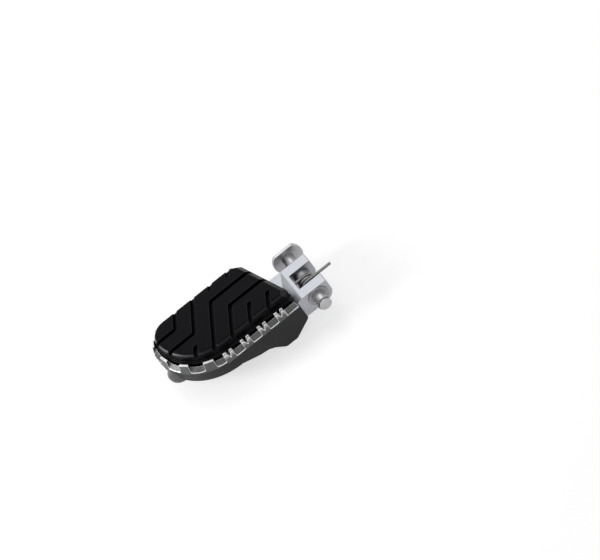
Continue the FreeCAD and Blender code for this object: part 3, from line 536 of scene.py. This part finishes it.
def platform_corner(turn, convex, low, high, room):
    """Radius along an edge from low to high; room is the shortest edge beside it."""
    if turn < CORNER_TURN:
        return 0.0
    in_gap = (FLOOR_HEIGHTS[0] < low[2] < FLOOR_HEIGHTS[1]
              and SIDE_HEIGHTS[0] < high[2] < SIDE_HEIGHTS[1] and low[1] > TAB_END)
    if not convex and in_gap:
        return round(min(GAP_RADIUS, ROOM_SHARE * room), 2)
    at_inner_end = max(low[0], high[0]) < END_X and max(low[1], high[1]) < END_Y
    return END_RADIUS if convex and at_inner_end and high[2] - low[2] > END_HEIGHT else 0.0


def turn_of(edge):
    """Degrees between the two faces of an edge."""
    return math.degrees(edge.calc_face_angle(0.0))


def mould(made, name, corner):
    """Cuts the radii that corner(turn, convex, low, high, room) gives, smallest first."""
    moulded = {}
    for edge in made.edges:
        low, high = sorted((vertex.co / MM for vertex in edge.verts), key=lambda point: point.z)
        beside = {other for vertex in edge.verts for other in vertex.link_edges} - {edge}
        room = min(other.calc_length() for other in beside) / MM
        radius = corner(turn_of(edge), edge.is_convex, low, high, room)
        if radius:
            moulded.setdefault(radius, []).append(edge)
    for radius, edges in sorted(moulded.items()):
        print(f"{name}: {len(edges)} corners of {radius} mm")
        bmesh.ops.bevel(made, geom=[edge for edge in edges if edge.is_valid], offset=radius * MM,
                        segments=CORNER_STEPS, profile=0.5, affect="EDGES", clamp_overlap=False)


print("gap corners up to", GAP_RADIUS, "mm, inner end", END_RADIUS, "mm")

# %% [markdown]
# ## Softened castings
#
# A copy of each mesh is welded and its flat triangles are joined into larger faces. The width
# that the rule gives becomes a bevel weight, and a Bevel modifier does the rest. It can also give
# the new faces a finish of their own, which is how the bright edges, part wear and part painted
# highlight, and the tread's painted sheen are made here. Edges that turn more
# than a crease angle stay sharp in the shading.

# %% Softened copies
COPY_WELD, FLAT_ANGLE = 0.004 * MM, math.radians(0.4)
CASTING, RIM, WORN_AND_HIGHLIT, TOOTH = range(4)
RUBBER, SHEEN = range(2)


def softened(name, node, body, rule, crease=24.0, edge_finish=-1, corner=None):
    """A welded copy of a node whose edges are rounded by rule(turn, low, high, area) millimetres.

    turn is in degrees, low and high are the heights of the edge's ends, area is the smaller face
    beside it in square millimetres. edge_finish is the material slot of the rounded edges, and
    corner is a rule for moulded corners.
    """
    mesh = nodes[node].data.copy()
    mesh.name = name
    mesh.materials.clear()
    made = bmesh.new()
    made.from_mesh(mesh)
    bmesh.ops.remove_doubles(made, verts=made.verts, dist=COPY_WELD)
    bmesh.ops.dissolve_limit(made, angle_limit=FLAT_ANGLE, verts=made.verts, edges=made.edges)
    if corner:
        mould(made, name, corner)
    widths = []
    for edge in made.edges:
        turn = turn_of(edge)
        low, high = sorted(vertex.co.z / MM for vertex in edge.verts)
        area = min(face.calc_area() for face in edge.link_faces) / MM ** 2
        widths.append(rule(turn, low, high, area))
        edge.smooth = turn < crease
    weight = made.edges.layers.float.new("bevel_weight_edge")
    for edge, width in zip(made.edges, widths):
        edge[weight] = width / max(widths)
    made.to_mesh(mesh)
    made.free()
    mesh.polygons.foreach_set("use_smooth", np.ones(len(mesh.polygons), bool))
    piece = added(name, mesh)
    bevel = piece.modifiers.new("edges", "BEVEL")
    bevel.limit_method = "WEIGHT"
    bevel.width = max(widths) * MM
    bevel.segments = 2
    bevel.harden_normals = True
    bevel.use_clamp_overlap = False
    bevel.material = edge_finish
    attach(piece, body)
    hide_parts(node)
    print(f"{name}: {len(mesh.polygons)} faces, {np.count_nonzero(widths)} rounded edges")
    return piece


block = softened("milled_block", "hinge_block", "peg", block_rule, crease=7.0)
platform = softened("cast_platform", "peg_platform", "peg", platform_rule,
                    crease=17.0, edge_finish=WORN_AND_HIGHLIT, corner=platform_corner)
tread = softened("rubber_tread", "tread_pad", "peg", tread_rule, edge_finish=SHEEN)
pin = softened("ground_pin", "hinge_pin", "hinge", pin_rule)

# %% [markdown]
# ## Shared effects
#
# Every finish here needs some fine grain, some slow change of tone and some marks that run one
# way, so these are three small node groups with named values. Each reads Object coordinates,
# which are metres in the part's own frame, so a scale of 4000 gives grains of about a quarter
# of a millimetre. Groups put out numbers only, and the shader stays in each material.

# %% Grain, tone and marks


def effect(name, inputs, outputs):
    """An empty shader group with float sockets: the group, its input node and its output node."""
    group = bpy.data.node_groups.new(name, "ShaderNodeTree")
    sockets = group.interface
    for label, value in inputs.items():
        made = sockets.new_socket(label, in_out="INPUT", socket_type="NodeSocketFloat")
        made.default_value = value
    for label in outputs:
        sockets.new_socket(label, in_out="OUTPUT", socket_type="NodeSocketFloat")
    return group, group.nodes.new("NodeGroupInput"), group.nodes.new("NodeGroupOutput")


def noise(tree, vector, scale, detail=3.0):
    """A noise texture on vector; scale is a number or an output socket."""
    node = tree.nodes.new("ShaderNodeTexNoise")
    node.inputs["Detail"].default_value = detail
    tree.links.new(vector, node.inputs["Vector"])
    if isinstance(scale, float):
        node.inputs["Scale"].default_value = scale
    else:
        tree.links.new(scale, node.inputs["Scale"])
    return node.outputs["Fac"]


def object_place(tree):
    """The point's place in the part's frame."""
    return tree.nodes.new("ShaderNodeTexCoord").outputs["Object"]


grain, grain_in, grain_out = effect("grain", {"Scale": 4000.0}, ["Height"])
grain.links.new(noise(grain, object_place(grain), grain_in.outputs["Scale"]),
                grain_out.inputs["Height"])

tone, tone_in, tone_out = effect("tone", {"Scale": 120.0, "Low": 0.35, "High": 0.65}, ["Amount"])
spread = tone.nodes.new("ShaderNodeMapRange")
tone.links.new(noise(tone, object_place(tone), tone_in.outputs["Scale"], detail=5.0),
               spread.inputs["Value"])
tone.links.new(tone_in.outputs["Low"], spread.inputs["From Min"])
tone.links.new(tone_in.outputs["High"], spread.inputs["From Max"])
tone.links.new(spread.outputs["Result"], tone_out.inputs["Amount"])

marks, marks_in, marks_out = effect(
    "marks", {"Across X": 3000.0, "Across Y": 60.0, "Across Z": 3000.0}, ["Height"])
stretch = marks.nodes.new("ShaderNodeVectorMath")
stretch.operation = "MULTIPLY"
scales = marks.nodes.new("ShaderNodeCombineXYZ")
for axis in "XYZ":
    marks.links.new(marks_in.outputs[f"Across {axis}"], scales.inputs[axis])
marks.links.new(object_place(marks), stretch.inputs[0])
marks.links.new(scales.outputs["Vector"], stretch.inputs[1])
marks.links.new(noise(marks, stretch.outputs["Vector"], 1.0, detail=2.0),
                marks_out.inputs["Height"])
print("groups:", [g.name for g in bpy.data.node_groups])

# %% [markdown]
# ## Painted sheen and highlight
#
# This light follows the shape, so it could be drawn into a texture, but a rule is easier to
# change.
# One group finds the rounded edges of the tread from the way its surface faces, strongly at the
# tip and faintly along the rear, where it puts a painted sheen. Another rises with height, for a
# painted highlight that grows towards the points of the teeth.

# %% Sheen and rise
TIP_FACING, REAR_FACING = (0.1, 0.55), (0.1, 0.5)
OFF_SIDE, OFF_TOP = (0.35, 0.6), (0.8, 0.93)
WORN_HEIGHTS = (8.4 * MM, 11.4 * MM)


def ramp(tree, value, low, high):
    """A soft step from 0 at low to 1 at high."""
    node = tree.nodes.new("ShaderNodeMapRange")
    node.interpolation_type = "SMOOTHSTEP"
    node.inputs["From Min"].default_value, node.inputs["From Max"].default_value = low, high
    tree.links.new(value, node.inputs["Value"])
    return node.outputs["Result"]


# The tread's painted sheen, strongest where the surface faces the tip and faint along the rear.
painted_sheen, painted_sheen_in, painted_sheen_out = effect("painted_sheen", {"Tip": 1.0, "Rear": 0.3}, ["Amount"])
facing = painted_sheen.nodes.new("ShaderNodeSeparateXYZ")
painted_sheen.links.new(painted_sheen.nodes.new("ShaderNodeTexCoord").outputs["Normal"], facing.inputs["Vector"])
outward, upward = facing.outputs["Y"], facing.outputs["Z"]
rearward = worked(painted_sheen, "MULTIPLY", facing.outputs["X"], -1.0)
at_tip = worked(painted_sheen, "MULTIPLY", ramp(painted_sheen, outward, *TIP_FACING), painted_sheen_in.outputs["Tip"])
at_rear = worked(painted_sheen, "MULTIPLY", ramp(painted_sheen, rearward, *REAR_FACING), painted_sheen_in.outputs["Rear"])
leaning = worked(painted_sheen, "MULTIPLY", ramp(painted_sheen, upward, *OFF_SIDE),
                 worked(painted_sheen, "SUBTRACT", 1.0, ramp(painted_sheen, upward, *OFF_TOP)))
painted_sheen.links.new(worked(painted_sheen, "MULTIPLY", worked(painted_sheen, "MAXIMUM", at_tip, at_rear), leaning),
              painted_sheen_out.inputs["Amount"])

# A ramp with height, used for the painted highlight towards the teeth's points.
rise, rise_in, rise_out = effect("rise", {"Strength": 1.0}, ["Amount"])
height = rise.nodes.new("ShaderNodeSeparateXYZ")
rise.links.new(object_place(rise), height.inputs["Vector"])
rise.links.new(worked(rise, "MULTIPLY", ramp(rise, height.outputs["Z"], *WORN_HEIGHTS),
                      rise_in.outputs["Strength"]), rise_out.inputs["Amount"])
print("groups:", [g.name for g in bpy.data.node_groups])

# %% [markdown]
# ## Finishes
#
# A finish is a Principled shader whose colour runs between two close tones, whose gloss runs
# between two values, and whose surface is broken by a bump from the grain or the marks. One
# function builds them all from plain numbers, so the pieces stay easy to compare.

# %% Finish builder
BUMP_STRENGTH = 0.6


def placed(tree, group, values):
    """A group node with some of its values set."""
    node = tree.nodes.new("ShaderNodeGroup")
    node.node_tree = group
    for label, value in values.items():
        node.inputs[label].default_value = value
    return node


def mixed(tree, first, second, share):
    """A colour that runs from first, a colour or a socket, to the colour second with share."""
    node = tree.nodes.new("ShaderNodeMix")
    node.data_type = "RGBA"
    if isinstance(first, tuple):
        node.inputs["A"].default_value = (*first, 1.0)
    else:
        tree.links.new(first, node.inputs["A"])
    node.inputs["B"].default_value = (*second, 1.0)
    tree.links.new(share, node.inputs["Factor"])
    return node.outputs["Result"]


def finish(name, dark, light, gloss, tone_scale, relief, depth, metallic=1.0, specular=0.5):
    """A material between two colours and two roughness values.

    The tone group picks the place between them, relief is a (group, values) pair whose
    height stands depth millimetres high.
    """
    material = bpy.data.materials.new(name)
    material.use_nodes = True
    tree = material.node_tree
    shader = tree.nodes["Principled BSDF"]
    shader.inputs["Metallic"].default_value = metallic
    shader.inputs["Specular IOR Level"].default_value = specular
    patch = placed(tree, tone, {"Scale": tone_scale}).outputs["Amount"]
    tree.links.new(mixed(tree, dark, light, patch), shader.inputs["Base Color"])
    rough = tree.nodes.new("ShaderNodeMapRange")
    rough.inputs["To Min"].default_value, rough.inputs["To Max"].default_value = gloss
    tree.links.new(patch, rough.inputs["Value"])
    tree.links.new(rough.outputs["Result"], shader.inputs["Roughness"])
    bump = tree.nodes.new("ShaderNodeBump")
    bump.inputs["Strength"].default_value = BUMP_STRENGTH
    bump.inputs["Distance"].default_value = depth * MM
    tree.links.new(placed(tree, *relief).outputs["Height"], bump.inputs["Height"])
    tree.links.new(bump.outputs["Normal"], shader.inputs["Normal"])
    return material


def grained(scale):
    """Relief of even grains."""
    return grain, {"Scale": scale}


def marked(x, y, z):
    """Relief of marks that are close across the axes with large values."""
    return marks, {"Across X": x, "Across Y": y, "Across Z": z}


print("finishes are made with a bump of strength", BUMP_STRENGTH)

# %% [markdown]
# ## Metals
#
# Milled and turned pieces show the tool's marks in one direction, plated and blasted ones only
# a grain. All are metals with nearly grey colours, and they differ mostly in how dark and how
# glossy they are.

# %% Metal finishes
milled = finish("milled_aluminium", (0.36, 0.37, 0.40), (0.42, 0.43, 0.46), gloss=(0.30, 0.42),
                tone_scale=160.0, relief=marked(2600.0, 260.0, 2600.0), depth=0.08)
ground = finish("ground_steel", (0.36, 0.36, 0.37), (0.48, 0.48, 0.49), gloss=(0.24, 0.36),
                tone_scale=140.0, relief=marked(9000.0, 120.0, 120.0), depth=0.02)
drawn = finish("drawn_wire", (0.15, 0.15, 0.152), (0.23, 0.23, 0.232), gloss=(0.2, 0.32),
               tone_scale=260.0, relief=marked(6000.0, 200.0, 6000.0), depth=0.02)
satin = finish("satin_steel", (0.26, 0.26, 0.27), (0.36, 0.36, 0.37), gloss=(0.38, 0.5),
               tone_scale=180.0, relief=grained(4500.0), depth=0.02)
blackened = finish("blackened_steel", (0.19, 0.19, 0.195), (0.27, 0.27, 0.275), gloss=(0.34, 0.46),
                   tone_scale=200.0, relief=marked(6000.0, 150.0, 150.0), depth=0.02)
plated = finish("zinc_plate", (0.36, 0.37, 0.38), (0.50, 0.51, 0.52), gloss=(0.25, 0.42),
                tone_scale=240.0, relief=grained(5000.0), depth=0.02)
print("finishes:", len(bpy.data.materials))

# %% [markdown]
# ## Casting
#
# The platform is dark below and brighter on the rim. Its edges are bright metal, partly bare from
# wear and partly a painted highlight, and the teeth turn from the rim's tone to bright metal
# towards their points, a painted highlight that the finish mixes in from the group that rises with
# height.

# %% Casting finishes
RIM_DARK, BRIGHT_METAL, POINT_HIGHLIGHT_SHARE = (0.098, 0.100, 0.103), (0.62, 0.62, 0.63), 0.8

casting = finish("dark_casting", (0.026, 0.026, 0.0265), (0.034, 0.034, 0.0345), gloss=(0.45, 0.6),
                 tone_scale=90.0, relief=grained(2600.0), depth=0.06, metallic=0.0, specular=0.25)
rim = finish("bright_rim", RIM_DARK, (0.145, 0.147, 0.150), gloss=(0.3, 0.45),
             tone_scale=220.0, relief=grained(3500.0), depth=0.05, metallic=0.5)
# Bright metal for the rounded edges and crests: bare from wear, and a painted highlight too.
worn_and_highlit = finish("worn_and_highlit_edge", BRIGHT_METAL, (0.82, 0.82, 0.83), gloss=(0.25, 0.4),
              tone_scale=300.0, relief=grained(5000.0), depth=0.03, metallic=0.8)
# The teeth's tone runs to bright metal towards their points: a painted highlight.
tooth = finish("tooth_painted_highlight", RIM_DARK, (0.16, 0.162, 0.166), gloss=(0.28, 0.42),
               tone_scale=500.0, relief=grained(3500.0), depth=0.05, metallic=0.5)
tree = tooth.node_tree
colour = tree.nodes["Principled BSDF"].inputs["Base Color"]
points = placed(tree, rise, {"Strength": POINT_HIGHLIGHT_SHARE}).outputs["Amount"]
tree.links.new(mixed(tree, colour.links[0].from_socket, BRIGHT_METAL, points), colour)
print("finishes:", len(bpy.data.materials))

# %% [markdown]
# ## Rubber
#
# Moulded rubber is almost black and hardly mirrors anything. Its edges get a painted sheen from
# a second, lighter and glossier finish and from a thin coat that is only there where the sheen
# group finds an edge.

# %% Rubber finishes
rubber = finish("moulded_rubber", (0.0030, 0.0031, 0.0044), (0.0055, 0.0057, 0.0074),
                gloss=(0.36, 0.5), tone_scale=110.0, relief=grained(5200.0), depth=0.04,
                metallic=0.0, specular=0.05)
# A lighter, glossier rubber: a painted sheen for the bevelled edges and the faces that lean to the
# neck.
sheen = finish("painted_sheen_rubber", (0.0055, 0.0058, 0.0075), (0.0090, 0.0094, 0.0115),
               gloss=(0.34, 0.46), tone_scale=140.0, relief=grained(5200.0), depth=0.03,
               metallic=0.0, specular=0.25)
tree = rubber.node_tree
shader = tree.nodes["Principled BSDF"]
shader.inputs["Coat Roughness"].default_value = 0.3
# The coat is a painted highlight on the rounded edges that the sheen group finds.
tree.links.new(placed(tree, painted_sheen, {}).outputs["Amount"], shader.inputs["Coat Weight"])
print("finishes:", len(bpy.data.materials))

# %% [markdown]
# ## Dressing the pieces
#
# Most pieces take one finish. The platform takes four: its walls are a dark satin casting, the
# leaning rim and the boss are brighter, the straight row's teeth get a painted highlight towards
# their points, and the crests and all rounded edges that the Bevel modifier adds are bright metal,
# partly bare from wear and partly a painted highlight. The tread takes two, the second a painted
# sheen on its rounded edges and on the bevel over the neck.

# %% Materials of each piece
dressing = [(block, [milled]), (platform, [casting, rim, worn_and_highlit, tooth]), (tread, [rubber, sheen]),
            (pin, [ground]), (sleeve, [blackened]), (spring, [drawn]), (ring, [drawn])]
dressing += [(piece, [satin]) for piece in bushes]
dressing += [(piece, [plated]) for piece in washers + screws]
for piece, finishes in dressing:
    for material in finishes:
        piece.data.materials.append(material)
print("dressed pieces:", len(dressing))

# %% [markdown]
# ## Sorting faces
#
# Which finish a face of the platform or the tread takes is read from its centre, its normal and
# its corners' reach, in one array step. The boss is the only form outside the swept wall, and
# under the wall its faces lie within its own radius.

# %% Assign finishes
RIM_BASE, FLOORS, TEETH, CREST, ROW_END = 5.55, 7.0, 9.6, 11.7, 73.5
SWEEP_CENTRE, SWEEP_RADIUS = np.array([27.0, 66.5]), 45.0
BOSS_CENTRE, BOSS_RADIUS, WALL_FOOT = np.array([12.27, 103.9]), 8.8, -3.3
CLEAR, SKIN = 0.1, 0.2
UNDERSIDE, LEANING, STEEP, LEVEL = -0.9, 0.3, 0.6, 0.9
TOWARDS_NECK = -0.35


def face_table(piece):
    """Centres in millimetres and unit normals of all faces, as two arrays."""
    faces = piece.data.polygons
    table = np.zeros((2, len(faces) * 3), np.float32)
    faces.foreach_get("center", table[0])
    faces.foreach_get("normal", table[1])
    return table[0].reshape(-1, 3) / MM, table[1].reshape(-1, 3)


def face_reach(piece, middle):
    """Millimetres from a vertical line through middle to each face's furthest corner."""
    mesh = piece.data
    points = np.zeros(len(mesh.vertices) * 3, np.float32)
    mesh.vertices.foreach_get("co", points)
    corners = np.zeros(len(mesh.loops), np.int32)
    mesh.loops.foreach_get("vertex_index", corners)
    starts = np.zeros(len(mesh.polygons), np.int32)
    mesh.polygons.foreach_get("loop_start", starts)
    reach = np.linalg.norm(points.reshape(-1, 3)[:, :2] / MM - middle, axis=1)
    return np.maximum.reduceat(reach[corners], starts)


centre, normal = face_table(platform)
level, upward = centre[:, 2], normal[:, 2]
outside = ((face_reach(platform, SWEEP_CENTRE) > SWEEP_RADIUS + CLEAR) & (upward > UNDERSIDE)
           & (centre[:, 0] < SWEEP_CENTRE[0]) & (centre[:, 1] > SWEEP_CENTRE[1]))
from_axis = np.hypot(*(centre[:, :2] - BOSS_CENTRE).T)
below = ((face_reach(platform, BOSS_CENTRE) < BOSS_RADIUS + CLEAR)
         & ((level < WALL_FOOT) | (from_axis > BOSS_RADIUS - SKIN)))
straight = centre[:, 1] < ROW_END
choice = np.where((level > RIM_BASE) | outside | below, RIM, CASTING)
# The straight row's teeth take the finish with a painted highlight towards their points.
choice[straight & (level > FLOORS) & (upward < STEEP)] = TOOTH
# Crests and the tops of the straight row's teeth take the bright edge finish, part wear and part
# painted highlight.
choice[(level > CREST) & (upward > LEVEL) | straight & (level > TEETH) & (upward > LEANING)] = WORN_AND_HIGHLIT
platform.data.polygons.foreach_set("material_index", choice.astype(np.int32))
print("platform faces by finish:", np.bincount(choice).tolist())

normal = face_table(tread)[1]
# Faces that lean towards the neck take the painted sheen.
sloped = (normal[:, 1] < TOWARDS_NECK) & (normal[:, 2] > LEANING) & (normal[:, 2] < LEVEL)
tread.data.polygons.foreach_set("material_index", np.where(sloped, SHEEN, RUBBER).astype(np.int32))
print("sloped tread faces:", int(sloped.sum()))
